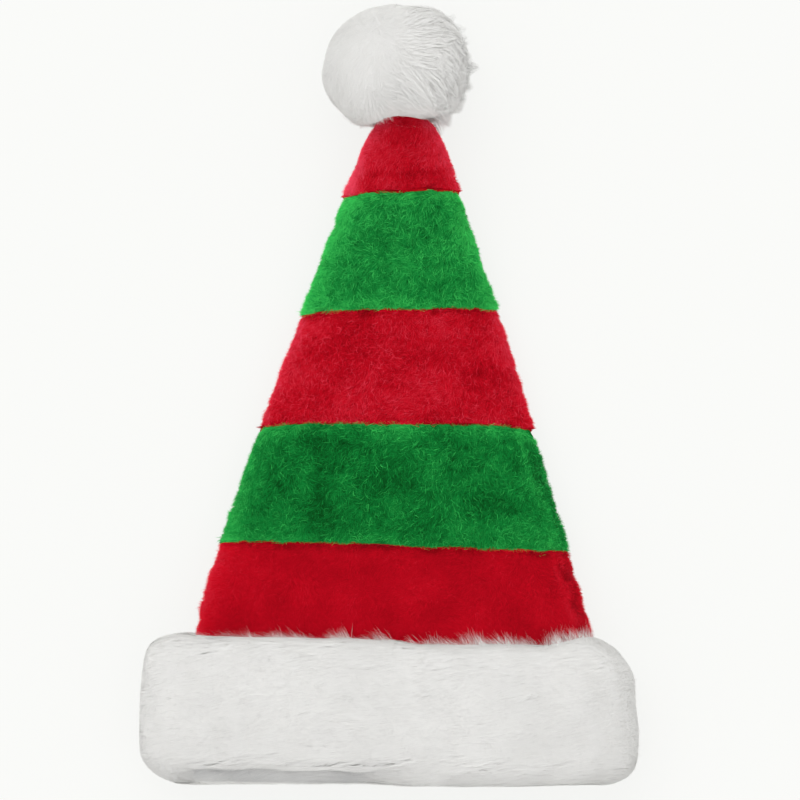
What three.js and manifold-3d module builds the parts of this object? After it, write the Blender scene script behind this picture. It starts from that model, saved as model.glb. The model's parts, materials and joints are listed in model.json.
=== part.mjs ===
// A striped plush Christmas hat that lies flat on its back, with the mouth towards -Y and the tip towards +Y.
// Millimetres, +Z up. The origin is on the surface under the hat, below the middle of its outline.
// The crown is two tapered plush panels, each pieced from five stripes, sewn together along both sides. A thick
// folded fur cuff holds its lower edge, and a fur pompom sits on its tip.
import * as THREE from "three";
import { mergeVertices } from "three/addons/utils/BufferGeometryUtils.js";
import Module from "manifold-3d";

const wasm = await Module();
wasm.setup();

// Crown
const crownLength = 315; // what shows of it between the cuff and the tip
const crownBaseWidth = 238;
const crownTipWidth = 30;
const crownLoft = 34; // thickness of the lying crown where it enters the cuff
const tipLoft = 17; // thickness of the gathered end at the pompom
const plushWall = 6.5; // backing and pile together
const tuck = 14; // how far the crown reaches down inside the cuff
const seamGap = 0.3; // between two sewn pieces
const seamDip = 1.4; // how far the pile sinks along a seam

// Cuff
const cuffHeight = 86;
const cuffWidth = 292;
const cuffLoft = 65; // thickness of the lying cuff
const cuffTopRound = 18;
const cuffHemRound = 19;
const cuffBelly = 2; // how far its outer face swells between its two edges
const cuffSlope = 1.5; // degrees by which its top edge falls towards the right
const mouthWidth = 244;
const mouthLoft = 20; // height of the open mouth

// Pompom
const pompomWidth = 88;
const pompomLength = 75;
const pompomLoft = 76;
const pompomCover = 9; // how far the tip of the crown sinks into the fur
const pompomShift = 5; // how far it sits to the right of the cuff's middle

// Locks of fur. stand: how far a lock's tip reaches over the face that it grows from. sweep, lean: how far it
// turns round the pompom's middle and down to the right, as shares of its length.
const pompomLock = { count: 84, length: 25, width: 18, thick: 13, stand: 7, sweep: 0.5, lean: 0.2 };
const cuffLock = { count: 20, length: 34, width: 17, thick: 8, stand: 3 };

const pressed = 1.5; // how much of the underside the surface presses flat
const squareness = { front: 2.7, back: 4 }; // 2 is an ellipse, and more is flatter with rounder sides
const pompomSquareness = 2.3;
const hemShare = 0.2; // how much of the cuff's outer face is the round of the hem
const topShare = 0.8; // where the round of the top edge begins
const hemLow = 0.4; // where the hem is lowest, as a share of the wall from the hollow out
const topFullness = 0.8; // 1 is an elliptical round of the top edge, and less is fuller
const columns = 16; // facets across one panel

// The stripes from the cuff to the tip. share: what shows of it in the middle, as a share of the crown's length.
const stripes = [
  { name: "base_red", share: 0.181, colour: "red" },
  { name: "lower_green", share: 0.2286, colour: "green" },
  { name: "middle_red", share: 0.2222, colour: "red" },
  { name: "upper_green", share: 0.2222, colour: "green" },
  { name: "tip_red", share: 0.146, colour: "red" },
];

// The seams from the cuff to the tip. tilt: degrees by which one falls to the right. left, right: how far its
// ends droop where the pile rolls over the side, as shares of the plush wall.
const seams = [
  { tilt: cuffSlope, left: 0, right: 0 },
  { tilt: 2.1, left: 0.4, right: 0 },
  { tilt: 1.1, left: 0.6, right: 0.2 },
  { tilt: -1.1, left: 0.6, right: 0.2 },
  { tilt: -0.6, left: 0.8, right: 0.1 },
  { tilt: 0, left: 0, right: 0 },
];

// Rows of locks round the cuff. rise: 0 under the hem, 1 at the top edge. fan: how far one turns up towards the
// crown, as a share of its length.
const cuffLockRows = [
  { rise: 0.13, fan: -0.08 },
  { rise: 0.36, fan: -0.1 },
  { rise: 0.62, fan: 0.1 },
  { rise: 0.88, fan: 0.32 },
];

// Rows of one stripe. along: share of its height. dip: share of the seam's dip.
const stripeRows = [
  { along: 0, dip: 1 },
  { along: 0.1, dip: 0.2 },
  { along: 0.37, dip: 0 },
  { along: 0.63, dip: 0 },
  { along: 0.9, dip: 0.2 },
  { along: 1, dip: 1 },
];

// Sections of the crown. along: share of its length above the cuff. width: from the tip's width at 0 to the
// base width at 1. lean: how far its middle stands to the right, as a share of the base width. loft: from the
// tip's thickness at 0 to the base thickness at 1. lift: height of the underside, as a share of the cuff's loft.
const sections = [
  { along: -0.05, width: 1.0, lean: 0.013, loft: 1.0, lift: 0.24 },
  { along: 0.0, width: 0.997, lean: 0.012, loft: 1.0, lift: 0.235 },
  { along: 0.055, width: 0.965, lean: 0.008, loft: 0.98, lift: 0.17 },
  { along: 0.15, width: 0.88, lean: 0.008, loft: 0.93, lift: 0.035 },
  { along: 0.26, width: 0.773, lean: 0.01, loft: 0.86, lift: -0.02 },
  { along: 0.375, width: 0.66, lean: 0.013, loft: 0.8, lift: -0.023 },
  { along: 0.49, width: 0.557, lean: 0.022, loft: 0.76, lift: -0.023 },
  { along: 0.605, width: 0.44, lean: 0.029, loft: 0.72, lift: -0.022 },
  { along: 0.72, width: 0.31, lean: 0.029, loft: 0.65, lift: 0.01 },
  { along: 0.83, width: 0.194, lean: 0.03, loft: 0.55, lift: 0.11 },
  { along: 0.89, width: 0.141, lean: 0.033, loft: 0.48, lift: 0.22 },
  { along: 0.945, width: 0.09, lean: 0.038, loft: 0.38, lift: 0.36 },
  { along: 0.98, width: 0.05, lean: 0.04, loft: 0.22, lift: 0.45 },
  { along: 1.0, width: 0.0, lean: 0.041, loft: 0.0, lift: 0.52 },
];

// Soft dents of the front panel. along, across: its middle, as shares of the crown's length and half width.
// reach: its radius, as a share of the base width. depth: share of the plush wall.
const dents = [
  { along: 0.13, across: 0.35, reach: 0.16, depth: 0.35 },
  { along: 0.3, across: -0.42, reach: 0.1, depth: 0.5 },
  { along: 0.33, across: 0.5, reach: 0.12, depth: 0.4 },
  { along: 0.52, across: 0.1, reach: 0.13, depth: 0.3 },
  { along: 0.71, across: -0.3, reach: 0.1, depth: 0.3 },
];

const tipY = cuffHeight + crownLength;
const pompomMiddle = new THREE.Vector3(
  pompomShift,
  tipY - pompomCover + pompomLength / 2,
  pompomLoft / 2 - pressed,
);

const mix = THREE.MathUtils.lerp;
const goldenTurn = Math.PI * (3 - Math.sqrt(5));

// One column of the sections' table, on a smooth curve through its rows.
function sectionValue(column, along) {
  const last = sections.length - 1;
  const next = sections.findIndex((row) => row.along > along);
  const upper = next < 0 ? last : Math.max(next, 1);
  const row = (i) => sections[THREE.MathUtils.clamp(i, 0, last)];
  const slope = (i) => (row(i + 1)[column] - row(i - 1)[column]) / (row(i + 1).along - row(i - 1).along);
  const low = row(upper - 1);
  const high = row(upper);
  const span = high.along - low.along;
  const t = THREE.MathUtils.clamp((along - low.along) / span, 0, 1);
  const bend = slope(upper - 1) * t * (1 - t) ** 2 - slope(upper) * t * t * (1 - t);
  return mix(low[column], high[column], t * t * (3 - 2 * t)) + span * bend;
}

// The crown's outer section at a height y over the hem. sag: how far the surface draws an underside down.
function crownAt(y) {
  const along = (y - cuffHeight) / crownLength;
  const halfThick = mix(tipLoft, crownLoft, sectionValue("loft", along)) / 2;
  return {
    y,
    halfWidth: mix(crownTipWidth, crownBaseWidth, sectionValue("width", along)) / 2,
    halfThick,
    middleX: sectionValue("lean", along) * crownBaseWidth,
    middleZ: sectionValue("lift", along) * cuffLoft + halfThick,
    sag: 0,
  };
}

// A section that lies inside another by some depth.
function inset(section, depth) {
  return { ...section, halfWidth: section.halfWidth - depth, halfThick: section.halfThick - depth };
}

// A section part of the way from one to another.
function between(from, to, share) {
  return Object.fromEntries(Object.keys(from).map((key) => [key, mix(from[key], to[key], share)]));
}

// Places round a flattened section: side is front or back, and across runs from -1 at the left to 1.
const acrossAt = (column) => Math.sin(Math.PI * (column / columns - 0.5));
const acrossAll = Array.from({ length: columns + 1 }, (_, column) => acrossAt(column));
const roundPlaces = [
  ...acrossAll.map((across) => ({ side: "front", across })),
  ...acrossAll.map((across) => ({ side: "back", across: -across })),
];

// Height of a section over its middle, from 0 at its side to 1.
const swell = ({ side, across }) => Math.max(0, 1 - Math.abs(across) ** squareness[side]) ** (1 / squareness[side]);

// The point of a section at one place round it. The front and back halves stay a seam's gap apart.
function pointOf({ halfWidth, halfThick, middleX, middleZ, y }, place) {
  const height = seamGap / 2 + Math.max(halfThick, 0) * swell(place);
  return new THREE.Vector3(
    middleX + halfWidth * place.across,
    y,
    middleZ + (place.side === "front" ? height : -height),
  );
}

// How far the dents push the front panel in.
function dentAt({ y, halfWidth }, across) {
  return dents.reduce((sum, dent) => {
    const up = y - cuffHeight - dent.along * crownLength;
    const aside = (across - dent.across) * halfWidth;
    const reach = dent.reach * crownBaseWidth;
    return sum + dent.depth * plushWall * Math.exp(-(up * up + aside * aside) / (reach * reach));
  }, 0);
}

// The height over the hem of a seam, at one place across it.
function seamHeight(number, across) {
  const { tilt, left, right } = seams[number];
  const share = stripes.slice(0, number).reduce((sum, stripe) => sum + stripe.share, 0);
  const middle = cuffHeight + share * crownLength;
  const droop = (across < 0 ? left : right) * plushWall * Math.abs(across) ** 5;
  return middle - Math.tan(THREE.MathUtils.degToRad(tilt)) * across * crownAt(middle).halfWidth - droop;
}

// A closed body over rows of points. Each row is a loop. The ends are capped, or the last row meets the first.
function ringBody(rows, capped) {
  const count = rows[0].length;
  const at = (row, k) => (row % rows.length) * count + (k % count);
  const index = [];
  for (let row = 0; row < rows.length - (capped ? 1 : 0); row++)
    for (let k = 0; k < count; k++) {
      index.push(at(row, k), at(row, k + 1), at(row + 1, k + 1));
      index.push(at(row, k), at(row + 1, k + 1), at(row + 1, k));
    }
  const end = rows.length - 1;
  for (let k = 0; capped && k < count / 2 - 1; k++) {
    const back = count - 1 - k;
    index.push(at(0, k), at(0, back), at(0, back - 1), at(0, k), at(0, back - 1), at(0, k + 1));
    index.push(at(end, k), at(end, back - 1), at(end, back), at(end, k), at(end, k + 1), at(end, back - 1));
  }
  const geometry = new THREE.BufferGeometry();
  const position = rows.flat().flatMap((point) => point.toArray());
  geometry.setAttribute("position", new THREE.Float32BufferAttribute(position, 3));
  geometry.setIndex(index);
  return geometry;
}

// One stripe of one panel: its outer face, an inner face a wall's thickness below that, and its sewn edges.
function stripePanel(side, number) {
  const base = number === 0;
  const rows = base ? [{ along: 0, dip: 0, below: tuck }, ...stripeRows] : stripeRows;
  const loops = rows.map(({ along, dip, below = 0 }) => {
    const faces = [0, plushWall].map((depth) =>
      acrossAll.map((across) => {
        const low = seamHeight(number, across) + (base ? 0 : seamGap / 2);
        const high = seamHeight(number + 1, across) - seamGap / 2;
        const section = crownAt(mix(low, high, along) - below);
        const seam = base && along < 0.5 ? 0 : dip;
        const sink = depth ? 0 : seamDip * Math.max(seam, Math.abs(across) ** 24);
        const point = pointOf(inset(section, depth + sink), { side, across });
        if (side === "front") point.z -= dentAt(section, across) * swell({ side, across });
        if (side === "back") point.z = Math.max(point.z, depth ? depth - pressed : 0);
        return point;
      }),
    );
    const [outer, inner] = side === "front" ? faces : [faces[1], faces[0]];
    return [...outer, ...inner.reverse()];
  });
  return ringBody(loops, true);
}

// The solid of a closed geometry, and the geometry of a solid.
function solidOf(geometry) {
  const bare = geometry.clone();
  bare.deleteAttribute("normal");
  bare.deleteAttribute("uv");
  const merged = mergeVertices(bare, 1e-3);
  const vertProperties = new Float32Array(merged.attributes.position.array);
  const triVerts = new Uint32Array(merged.index.array);
  return new wasm.Manifold(new wasm.Mesh({ numProp: 3, vertProperties, triVerts }));
}

function geometryOf(solid) {
  const { vertProperties, triVerts } = solid.getMesh();
  const geometry = new THREE.BufferGeometry();
  geometry.setAttribute("position", new THREE.BufferAttribute(vertProperties, 3));
  geometry.setIndex(new THREE.BufferAttribute(triVerts, 1));
  return geometry;
}

// Everything of a solid that lies over the surface under the hat.
function overFloor(solid) {
  const reach = 2 * (tipY + pompomLength);
  const below = new THREE.BoxGeometry(reach, reach, cuffLoft).translate(0, 0, -cuffLoft / 2);
  return solid.subtract(solidOf(below));
}

// A lock of fur: a flattened, bent cone between its foot and its tip. Out is the way that the tip stands up.
function lockSolid({ width, thick, stand }, foot, tip, out) {
  const length = foot.distanceTo(tip);
  const geometry = new THREE.ConeGeometry(width / 2, length, 5, 2).rotateX(Math.PI / 2);
  geometry.scale(thick / width, 1, 1).translate(0, 0, length / 2);
  const position = geometry.attributes.position;
  for (let i = 0; i < position.count; i++) {
    const share = position.getZ(i) / length;
    position.setX(i, position.getX(i) + stand * share * (1 - share) * 2);
  }
  const z = tip.clone().sub(foot).normalize();
  const y = new THREE.Vector3().crossVectors(z, out).normalize();
  const x = new THREE.Vector3().crossVectors(y, z);
  return solidOf(geometry.applyMatrix4(new THREE.Matrix4().makeBasis(x, y, z).setPosition(foot)));
}

// The cuff's own sections. The outer one leaves room for the locks.
const cuffOuterAt = (y) => ({
  y,
  halfWidth: cuffWidth / 2 - cuffLock.stand,
  halfThick: cuffLoft / 2 - cuffLock.stand,
  middleX: 0,
  middleZ: cuffLoft / 2,
  sag: cuffLock.stand + pressed,
});
const mouthAt = (y) => ({ ...cuffOuterAt(y), halfWidth: mouthWidth / 2, halfThick: mouthLoft / 2, sag: 0 });
const crownRoomAt = (y) => inset(crownAt(y), -seamGap);
const seatAt = (across) => seamHeight(0, across) - tuck - seamGap;
const quarter = (share) => (Math.PI / 2) * share;

// The hollow between the mouth and the crown's lower edge.
function hollowAt(y, across) {
  const seat = seatAt(across);
  return between(mouthAt(y), { ...inset(crownAt(seat), plushWall), y }, y / seat);
}

// The cuff's outer section at a rise from 0 under the hem to 1 where the top edge meets the crown.
function cuffFaceAt(rise, across) {
  const top = seamHeight(0, across);
  if (rise < hemShare) {
    const turn = quarter(1 - rise / hemShare);
    const y = cuffHemRound * (1 - Math.sin(turn));
    return between(hollowAt(y, across), cuffOuterAt(y), hemLow + (1 - hemLow) * Math.cos(turn));
  }
  if (rise > topShare) {
    const turn = quarter((1 - rise) / (1 - topShare));
    const y = top - cuffTopRound * (1 - Math.cos(turn) ** topFullness);
    return { ...between(crownRoomAt(top), cuffOuterAt(top), Math.sin(turn) ** topFullness), y };
  }
  const share = (rise - hemShare) / (topShare - hemShare);
  return inset(cuffOuterAt(mix(cuffHemRound, top - cuffTopRound, share)), -cuffBelly * Math.sin(Math.PI * share));
}

// A point of the cuff. Its underside sags onto the surface and is pressed flat there.
function cuffPoint(section, place) {
  const point = pointOf(section, place);
  const under = THREE.MathUtils.clamp(1 - (2 * point.z) / cuffLoft, 0, 1);
  return point.setZ(Math.max(point.z - section.sag * under, 0));
}

// The cuff's wall at one place round it: up the hollow, round the crown's edge, over the top, down to the hem.
function cuffWall(place) {
  const { across } = place;
  const seat = seatAt(across);
  const rises = [1, 0.96, 0.91, 0.86, topShare, 0.5, hemShare, 0.14, 0.07, 0];
  const hemInner = [1 / 2, 1].map((share) => {
    const y = (cuffHemRound / 2) * (1 - Math.cos(quarter(share)));
    return between(hollowAt(y, across), cuffOuterAt(y), hemLow * (1 - Math.sin(quarter(share))));
  });
  const sections = [
    hollowAt(seat, across),
    crownRoomAt(seat),
    ...rises.map((rise) => cuffFaceAt(rise, across)),
    ...hemInner,
  ];
  return sections.map((section) => cuffPoint(section, place));
}

// Locks of the cuff. They are combed round it, towards the left in front, and fan out over its two edges.
function cuffLocks() {
  const { count, length, stand } = cuffLock;
  const placeAt = (turn) => ({ side: Math.sin(turn) < 0 ? "back" : "front", across: Math.cos(turn) });
  const locks = [];
  for (const [row, { rise, fan }] of cuffLockRows.entries())
    for (let k = 0; k < count; k++) {
      const stagger = ((k + row * count) * goldenTurn) % 1;
      const turn = (2 * Math.PI * (k + row / 2 + stagger / 3)) / count;
      const faceAt = (at) => cuffPoint(cuffFaceAt(rise, placeAt(at).across), placeAt(at));
      const tip = faceAt(turn);
      if (tip.z < cuffLoft / 4) continue;
      const core = pointOf(inset(cuffOuterAt(mix(cuffHeight / 2, tip.y, 0.5)), cuffLoft / 4), placeAt(turn));
      const out = tip.clone().sub(core).normalize();
      const foot = faceAt(turn - length / (cuffWidth / 2)).addScaledVector(out, -stand);
      foot.y -= (fan * length) / 2;
      tip.addScaledVector(out, stand).y += (fan * length) / 2;
      locks.push(lockSolid(cuffLock, foot, tip, out));
    }
  return locks;
}

// The room that the crown takes between two heights. Where it is open, nothing may stand over its front.
function crownRoom(from, to, open) {
  const steps = 4;
  const rows = Array.from({ length: steps + 1 }, (_, step) => {
    const section = crownRoomAt(mix(from, to, step / steps));
    return roundPlaces.map((place) => {
      const point = pointOf(section, place);
      return open && place.side === "front" && swell(place) > 0 ? point.setZ(cuffLoft * 2) : point;
    });
  });
  return solidOf(ringBody(rows, true));
}

// A backing and its locks as one solid, without the locks that would reach into the room of another piece.
function furSolid(backing, locks, room) {
  return wasm.Manifold.union([backing, ...locks.filter((lock) => lock.intersect(room).isEmpty())]);
}

function furCuff() {
  const backing = solidOf(ringBody(roundPlaces.map(cuffWall), false));
  const room = crownRoom(cuffHeight - tuck, cuffHeight + cuffLock.length, false);
  return overFloor(furSolid(backing, cuffLocks(), room));
}

// The pompom's face in one direction from its middle.
function pompomFace(direction, room) {
  const size = new THREE.Vector3(pompomWidth, pompomLength, pompomLoft).multiplyScalar(0.5).subScalar(room);
  const reach = direction.toArray().reduce((sum, part) => sum + Math.abs(part) ** pompomSquareness, 0);
  return direction.clone().multiply(size).multiplyScalar(reach ** (-1 / pompomSquareness));
}

// Locks of the pompom, spread evenly over its head. They sweep round its middle and lean down to the right.
function pompomLocks() {
  const { count, length, sweep, lean } = pompomLock;
  return Array.from({ length: count }, (_, i) => {
    const rise = 1 - (2 * (i + 0.5)) / count;
    const ring = Math.sqrt(1 - rise * rise);
    const out = new THREE.Vector3(ring * Math.cos(i * goldenTurn), rise, ring * Math.sin(i * goldenTurn));
    const aside = new THREE.Vector3(0, 0, 1).cross(out).multiplyScalar(sweep);
    const grow = out.clone().add(aside).add(new THREE.Vector3(lean, -lean, 0)).normalize();
    const tip = pompomFace(out, 0);
    const lock = lockSolid(pompomLock, tip.clone().addScaledVector(grow, -length), tip, out);
    return lock.translate(pompomMiddle.toArray());
  });
}

function pompom() {
  const head = mergeVertices(new THREE.IcosahedronGeometry(1, 3).deleteAttribute("normal").deleteAttribute("uv"));
  const position = head.attributes.position;
  for (let i = 0; i < position.count; i++) {
    const direction = new THREE.Vector3().fromBufferAttribute(position, i).normalize();
    position.setXYZ(i, ...pompomFace(direction, pompomLock.stand).toArray());
  }
  const room = crownRoom(tipY - pompomCover - plushWall, tipY + seamGap, true);
  const backing = solidOf(head.translate(...pompomMiddle.toArray())).subtract(room);
  return overFloor(furSolid(backing, pompomLocks(), room));
}

const plush = { roughness: 0.95, metalness: 0 };
const finishes = {
  red: new THREE.MeshStandardMaterial({ color: 0xb5141f, ...plush }),
  green: new THREE.MeshStandardMaterial({ color: 0x127a35, ...plush }),
  white: new THREE.MeshStandardMaterial({ color: 0xebeae6, ...plush }),
};

const hat = new THREE.Group();

function addPiece(name, geometry, finish) {
  geometry.computeVertexNormals();
  const piece = new THREE.Mesh(geometry, finish);
  piece.name = name;
  hat.add(piece);
}

for (const side of ["front", "back"])
  for (const [number, { name, colour }] of stripes.entries())
    addPiece(`${side}_${name}`, stripePanel(side, number), finishes[colour]);
addPiece("fur_cuff", geometryOf(furCuff()), finishes.white);
addPiece("pompom", geometryOf(pompom()), finishes.white);

const outline = new THREE.Box3().setFromObject(hat).getCenter(new THREE.Vector3());
hat.position.set(-outline.x, -outline.y, 0);

export default hat;
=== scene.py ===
# %% [markdown]
# # A striped plush Christmas hat
#
# The hat lies flat on its back: a long crown of red and green plush stripes, a thick white fur cuff round
# the opening, and a fur pompom on the tip. The CAD model holds every soft part as a closed solid, pile and
# all. Here each solid becomes two things: a cloth body that is a little thinner, and the hair that stands
# on it. Hair made of real little blades catches the light as plush does and keeps its look in every
# renderer, which a bump in a material wouldn't.

# %% Load the frame
import itertools
import json

import bmesh
import bpy
import numpy as np
from mathutils.bvhtree import BVHTree
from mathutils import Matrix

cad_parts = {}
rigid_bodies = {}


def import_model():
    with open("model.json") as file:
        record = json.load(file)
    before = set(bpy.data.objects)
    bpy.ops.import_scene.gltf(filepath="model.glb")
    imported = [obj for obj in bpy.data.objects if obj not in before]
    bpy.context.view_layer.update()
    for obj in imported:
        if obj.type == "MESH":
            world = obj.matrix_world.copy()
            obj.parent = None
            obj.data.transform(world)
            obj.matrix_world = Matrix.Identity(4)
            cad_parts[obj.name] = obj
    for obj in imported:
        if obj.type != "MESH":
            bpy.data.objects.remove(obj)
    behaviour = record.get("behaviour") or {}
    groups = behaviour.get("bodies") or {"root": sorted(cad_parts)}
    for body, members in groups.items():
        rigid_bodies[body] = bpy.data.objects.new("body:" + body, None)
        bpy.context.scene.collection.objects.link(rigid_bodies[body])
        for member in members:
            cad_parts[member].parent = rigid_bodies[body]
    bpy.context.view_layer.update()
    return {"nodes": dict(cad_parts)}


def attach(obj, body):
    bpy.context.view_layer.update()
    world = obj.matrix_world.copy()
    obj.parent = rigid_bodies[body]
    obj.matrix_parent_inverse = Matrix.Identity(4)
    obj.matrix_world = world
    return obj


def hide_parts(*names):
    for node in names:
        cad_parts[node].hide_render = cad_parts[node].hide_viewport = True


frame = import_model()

MM = 0.001
print("CAD nodes:", ", ".join(sorted(frame["nodes"])))

# %% [markdown]
# ## The camera
#
# The photograph looks straight down, and its lens was long: nothing in it leans outwards. A camera with a
# long lens, far above the floor, gives the same flat view. Its distance follows from the width of the
# floor that the picture shows.

# %% Camera
PICTURE_WIDTH = 480 * MM
PICTURE_CENTRE = (6.2 * MM, -3.6 * MM)
LENS, SENSOR = 400.0, 36.0
CROWN_LEVEL = 15 * MM

eye = bpy.data.cameras.new("camera")
eye.lens, eye.sensor_width = LENS, SENSOR
eye.clip_start, eye.clip_end = 0.1, 50.0
camera = bpy.data.objects.new("camera", eye)
camera.location = (*PICTURE_CENTRE, CROWN_LEVEL + PICTURE_WIDTH * LENS / SENSOR)
bpy.context.scene.collection.objects.link(camera)
bpy.context.scene.camera = camera
print("camera height, m:", round(camera.location.z, 2))

# %% [markdown]
# ## Cloth bodies
#
# Each body starts as a copy of its CAD solid. A voxel remesh gives it an even skin of small squares, and
# smoothing rounds what was faceted. Then the outer side is drawn in by the height of the hair, so that
# hair and cloth together fill the solid again.

# %% Helpers for a mesh as arrays
def points_of(mesh):
    """The vertices of a mesh."""
    flat = np.zeros(len(mesh.vertices) * 3)
    mesh.vertices.foreach_get("co", flat)
    return flat.reshape(-1, 3)


def normals_of(mesh):
    """The smooth normal at each vertex of a mesh."""
    flat = np.zeros(len(mesh.vertices) * 3, np.float32)
    mesh.vertex_normals.foreach_get("vector", flat)
    return flat.reshape(-1, 3).astype(float)


def set_points(mesh, points):
    """Moves the vertices of a mesh."""
    mesh.vertices.foreach_set("co", np.ascontiguousarray(points, float).ravel())
    mesh.update()


def unit(vectors):
    """Vectors of length one."""
    return vectors / np.maximum(np.linalg.norm(vectors, axis=-1, keepdims=True), 1e-12)


def smooth_step(values):
    """0 below 0, 1 above 1, and a soft rise between."""
    values = np.clip(values, 0, 1)
    return values * values * (3 - 2 * values)


# %% Helpers for the bodies
def add_object(name, mesh):
    """A new object that shows this mesh."""
    piece = bpy.data.objects.new(name, mesh)
    bpy.context.scene.collection.objects.link(piece)
    return piece


def soften(mesh, rounds):
    """Rounds a mesh by moving each vertex halfway to its neighbours' middle, this many times."""
    shape = bmesh.new()
    shape.from_mesh(mesh)
    for _ in range(rounds):
        bmesh.ops.smooth_vert(shape, verts=shape.verts, factor=0.5,
                              use_axis_x=True, use_axis_y=True, use_axis_z=True)
    shape.to_mesh(mesh)
    shape.free()


def body_from(node, voxel, rounds, filled=False):
    """A new piece on a CAD node's solid, or on its hull if filled, with an even and softened skin."""
    shape = bmesh.new()
    if filled:
        for corner in points_of(frame["nodes"][node].data):
            shape.verts.new(corner)
        hull = bmesh.ops.convex_hull(shape, input=shape.verts)
        inside = set(hull["geom_interior"] + hull["geom_unused"])
        inner = [item for item in inside if isinstance(item, bmesh.types.BMVert)]
        bmesh.ops.delete(shape, geom=inner, context="VERTS")
    else:
        shape.from_mesh(frame["nodes"][node].data)
    bmesh.ops.remove_doubles(shape, verts=shape.verts, dist=0.01 * MM)
    mesh = bpy.data.meshes.new(node)
    shape.to_mesh(mesh)
    shape.free()
    piece = add_object(f"{node}_cloth", mesh)
    remesh = piece.modifiers.new("even_skin", "REMESH")
    remesh.mode, remesh.voxel_size = "VOXEL", voxel
    bpy.context.view_layer.update()
    whole = piece.evaluated_get(bpy.context.evaluated_depsgraph_get())
    mesh = bpy.data.meshes.new_from_object(whole)
    piece.modifiers.clear()
    piece.data = mesh
    mesh.name = piece.name
    soften(mesh, rounds)
    mesh.shade_smooth()
    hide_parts(node)
    return piece


# %% [markdown]
# The photograph shows where each soft part ends, hair and all. So an edge of a body can be moved out or in
# until skin and hair together end on the line that was measured there, at a few heights, in the photograph.

# %% Helpers for an outline
# Each edge of a shape seen from above: the axis along the edge, the axis across it, and which way is out.
UPPER, LOWER, LEFT, RIGHT = (0, 1, 1), (0, 1, -1), (1, 0, -1), (1, 0, 1)
NOWHERE = -1e3  # metres: any point of the shape lies farther out than this


def edge_at(shape, places, edge, bands=12):
    """How far out the edge of a shape lies at each place, both being arrays of points."""
    along, across, sign = edge
    low, high = shape[:, along].min(), shape[:, along].max()
    band = np.minimum(((shape[:, along] - low) / (high - low) * bands).astype(int), bands - 1)
    reach = np.full(bands, NOWHERE)
    np.maximum.at(reach, band, sign * shape[:, across])
    middles = low + (np.arange(bands) + 0.5) * (high - low) / bands
    return np.interp(places[:, along], middles, reach)


def moved_to(places, edge, line, inset, fade):
    """Moves an edge of a shape to a line (places along, places across), less the inset for its hair.

    What lies near the edge comes along, less and less over the fade.
    """
    along, across, sign = edge
    middle = (places[:, along].max() + places[:, along].min()) / 2
    half = (places[:, along].max() - places[:, along].min()) / 2
    looked_up = middle + (places[:, along] - middle) * (1 + inset / half)
    wanted = sign * np.interp(looked_up / MM, *line) * MM - inset
    current = edge_at(places, places, edge)
    near = smooth_step(1 - (current - sign * places[:, across]) / fade)
    places[:, across] += sign * (wanted - current) * near


# %% [markdown]
# The stripes lie round a flattened core, front panel on back panel. Where a panel faces its partner it
# keeps its place, and everywhere else it is drawn in sideways and up or down. The ends at the seams go out a
# little instead, because softening has shortened them and the next stripe is sewn on there. The back panel's
# go out further, so that no daylight shows through a seam. Underneath, the hat's weight presses the pile
# flat, so less room is left for it.

# %% The crown's stripes
STRIPES = ("tip_red", "upper_green", "middle_red", "lower_green", "base_red")
SIDES = {"front": 1, "back": -1}
STRIPE_VOXEL = 2.9 * MM
PILE_STAND = 2.2 * MM
SIDE_STAND = 0.4 * MM
PRESSED_PILE = 1.0 * MM
SEAM_ALLOWANCE = {"front": 1.8 * MM, "back": 3.0 * MM}
FACES_PARTNER = -0.35


def draw_in_panel(piece, side):
    """Moves the outer side of a panel inwards by the height of its pile."""
    points, normals = points_of(piece.data), normals_of(piece.data)
    move = normals * (-SIDE_STAND, SEAM_ALLOWANCE[side], -(PILE_STAND if side == "front" else PRESSED_PILE))
    facing_partner = SIDES[side] * normals[:, 2] < FACES_PARTNER
    move[facing_partner, 0] = move[facing_partner, 2] = 0
    set_points(piece.data, points + move)


# Heights, and the crown's outline at each, in millimetres.
CROWN_LEFT = (
    (-160, -140, -122, -74, -26, 22, 70, 118, 154, 158, 163, 168),
    (-116, -114.5, -112, -96.5, -80, -62.5, -45, -27.5, -13.6, -11, -7, -2.5),
)
CROWN_RIGHT = (
    (-160, -140, -122, -74, -26, 22, 70, 118, 142, 148, 154, 160, 164, 168),
    (122, 120, 115, 101.3, 87.5, 74, 58.5, 43, 35.5, 33, 30.6, 27.5, 24.5, 20),
)
CROWN_INSET, CROWN_FADE = 1.2 * MM, 10 * MM

bodies = {}
for side, stripe in itertools.product(SIDES, STRIPES):
    node = f"{side}_{stripe}"
    bodies[node] = body_from(node, STRIPE_VOXEL, 2)
    draw_in_panel(bodies[node], side)
    places = points_of(bodies[node].data)
    moved_to(places, LEFT, CROWN_LEFT, CROWN_INSET, CROWN_FADE)
    moved_to(places, RIGHT, CROWN_RIGHT, CROWN_INSET, CROWN_FADE)
    set_points(bodies[node].data, places)
    print(node, "body:", len(bodies[node].data.polygons), "faces")

# %% [markdown]
# ## The doubled cuff
#
# The cuff is a doubled band of fur cloth. Cloth simulation gives it the slight swells and pulls of sewn
# fabric: the skin is blown up from inside without gravity. Only the swelling is taken from it, and no more
# than a millimetre and a half of that, because the simulated band also shrinks and goes round, which the
# floor and its own weight keep a real one from doing. The pompom is a tied ball of hair, so it isn't blown
# up.

# %% Swelling by cloth simulation
SWELL_FRAMES = 20
SWELL_PRESSURE = 4.0


def draw_in(piece, depth):
    """Moves a whole skin inwards."""
    set_points(piece.data, points_of(piece.data) - normals_of(piece.data) * depth)


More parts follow.
